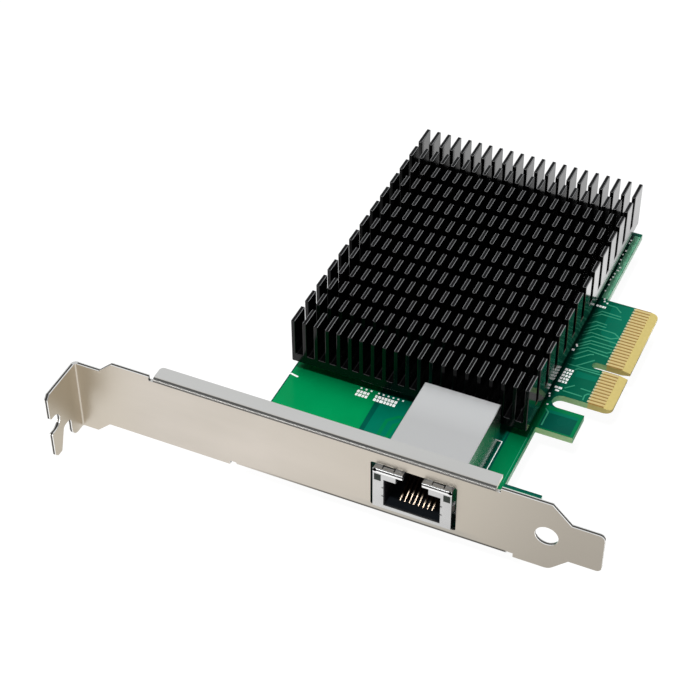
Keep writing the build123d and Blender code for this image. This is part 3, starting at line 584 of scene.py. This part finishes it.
# Jack shield: tin-plated steel sheet, stamped, folded round the jack and soldered to the board by its legs.
# The slit and the small holes under its two spring leaves are painted dark as shade, and the seam near its
# back shows dark. Painted light also sits on it: a highlight along the leaves' front fold, lighter faces
# turned up, and painted shade on its sides near the front.
leaf_line, slit_line, seam_line, hole_places = 0.0099, 0.0103, 0.0236, (0.0714, 0.0879)
tin = finish("tinned_shield", (0.58, 0.58, 0.575), (0.63, 0.63, 0.625), 0.3, metal=1.0, size=7, gloss=0.03)
tree, shader, colour = opened(tin)
x, y, z = position(tree)
face_x, face_y, face_z = facing(tree)
tree.links.new(ramp(tree, face_z, 0.5, 0.9, 0.24, 0.5), shader["Roughness"])
# Painted light: faces turned up are painted lighter, and lighter still towards the back.
top = mixed(tree, ramp(tree, y, 0.015, 0.025), (0.76, 0.755, 0.745), (0.98, 0.98, 0.97))
colour = mixed(tree, ramp(tree, face_z, 0.9, 0.97), colour, top)


def stripe(place, middle, half, turned):
    """One on a narrow stripe of the faces turned a given way."""
    return both(tree, within(tree, place, middle, half), above(tree, turned, 0.9))


forward = worked(tree, "MULTIPLY", face_y, -1.0)
# Painted highlight and shade: a bright stripe along the leaves' front fold, and dark stripes of painted
# shade for the slit.
for share, shade in ((stripe(z, leaf_line, 0.00028, forward), (0.97, 0.97, 0.96)),
                     (stripe(z, slit_line, 0.00018, forward), (0.04, 0.04, 0.04)),
                     (stripe(z, slit_line, 0.00012, worked(tree, "ABSOLUTE", face_z)), (0.04, 0.04, 0.04))):
    colour = mixed(tree, share, colour, shade)
# Painted shade: the two holes are dark discs.
for place in hole_places:
    off = put(tree, "CombineXYZ", {0: worked(tree, "SUBTRACT", x, place),
                                   2: worked(tree, "SUBTRACT", z, slit_line)})
    away = put(tree, "VectorMath", {0: off}, out="Value", operation="LENGTH")
    hole = both(tree, below(tree, away, 0.00045), below(tree, y, 0.0))
    colour = mixed(tree, hole, colour, (0.02, 0.02, 0.02))
colour = mixed(tree, stripe(y, seam_line, 0.00009, face_x), colour, (0.03, 0.03, 0.03))
aside = above(tree, worked(tree, "ABSOLUTE", face_x), 0.9)
# Painted shade: the shield's sides are painted dark near the front.
painted_shade_side_front = both(tree, aside, ramp(tree, y, 0.003, 0.006, 1.0, 0.0))
tree.links.new(mixed(tree, painted_shade_side_front, colour, (0.08, 0.08, 0.08)), shader["Base Color"])
dress(tin, "jack_shield")

# Jack insert and magnetics: black plastic, moulded in one shot each and pushed into the shield. The
# floor of the port looks a little bluer, where it faces the light.
moulded = finish("moulded_black", (0.006, 0.006, 0.007), (0.012, 0.012, 0.014), 0.42, size=1.2, bump=0.01)
tree, shader, colour = opened(moulded)
port_floor = both(tree, above(tree, facing(tree)["Z"], 0.9),
                  within(tree, position(tree)["Z"], 0.001, 0.0006))
tree.links.new(mixed(tree, port_floor, colour, (0.013, 0.016, 0.020)), shader["Base Color"])
dress(moulded, "jack_housing", "magnetics_module")

# Jack contacts: eight drawn wires with a gold flash, bent in the insert so that their crowns stand in the
# port. Only the middle of each crown near the mouth keeps its gold colour, with its shading normal turned
# to the front lamp; the rest of each wire is painted dark, as shade.
first_gap, wire_pitch = 0.075586, 0.001016
wire = finish("gold_wire", (0.98, 0.76, 0.56), (1.0, 0.84, 0.68), 0.5, metal=1.0, size=0.6)
tree, shader, colour = opened(wire)
x, y, _ = position(tree)
first_wire = both(tree, below(tree, x, 0.0766), 0.0012)
reach = worked(tree, "SUBTRACT", ramp(tree, x, 0.0799, 0.0812, 0.0030, 0.0020), first_wire)
deep = ramp(tree, worked(tree, "SUBTRACT", y, reach), 0.0, 0.0014, soft=True)
along = worked(tree, "MODULO", worked(tree, "SUBTRACT", x, first_gap), wire_pitch)
off = worked(tree, "ABSOLUTE", worked(tree, "SUBTRACT", along, wire_pitch / 2))
# Painted shade: the wires are dark further back and away from the middle of each crown.
painted_shade_on_wires = either(tree, deep, ramp(tree, off, 0.00008, 0.00017))
tree.links.new(mixed(tree, painted_shade_on_wires, colour, (0.05, 0.03, 0.02)), shader["Base Color"])
crown = tilted(tree, painted_shade_on_wires, (0.03, -0.9, 0.44), surface(tree))
tree.links.new(crown, shader["Normal"])
dress(wire, "jack_contacts")

# Lamps and leads: two unlit lamps of clear plastic in the corners of the jack's face, and its tinned
# leads, soldered under the board.
lamp = finish("unlit_lamp", (0.022, 0.030, 0.024), (0.032, 0.040, 0.034), 0.25, ior=1.25, size=1)
dress(lamp, "jack_lamps")
solder = finish("solder", (0.60, 0.60, 0.61), (0.75, 0.75, 0.76), 0.3, metal=1.0, size=0.5, bump=0.02)
dress(solder, "jack_leads")

# Components under the heatsink and under the board: moulded chips, pressed iron powder coils, ceramic
# blocks with tinned ends, glazed resistors and a metal can, all soldered face down. The soft pad on the
# controller carries its heat to the heatsink.
dress(finish("chip_body", (0.016, 0.016, 0.018), (0.028, 0.028, 0.031), 0.5, size=0.8, bump=0.01),
      "controller_chip", "flash_memory", "regulators")
dress(finish("iron_powder", (0.13, 0.13, 0.135), (0.22, 0.22, 0.225), 0.6, size=0.5, bump=0.02),
      "power_inductors")
dress(finish("ceramic", (0.42, 0.31, 0.19), (0.58, 0.45, 0.30), 0.45, size=0.6), "ceramic_capacitors",
      "underside_capacitors")
dress(finish("bulk_body", (0.60, 0.40, 0.08), (0.75, 0.53, 0.13), 0.35, size=1), "bulk_capacitors")
dress(finish("resistor_glaze", (0.02, 0.02, 0.025), (0.05, 0.05, 0.06), 0.3, size=0.4), "resistors")
dress(finish("crystal_can", (0.66, 0.65, 0.62), (0.78, 0.77, 0.74), 0.25, metal=1.0, size=1), "crystal")
dress(finish("thermal_pad", (0.36, 0.37, 0.41), (0.46, 0.47, 0.52), 0.8, size=0.7, bump=0.02),
      "thermal_pad")
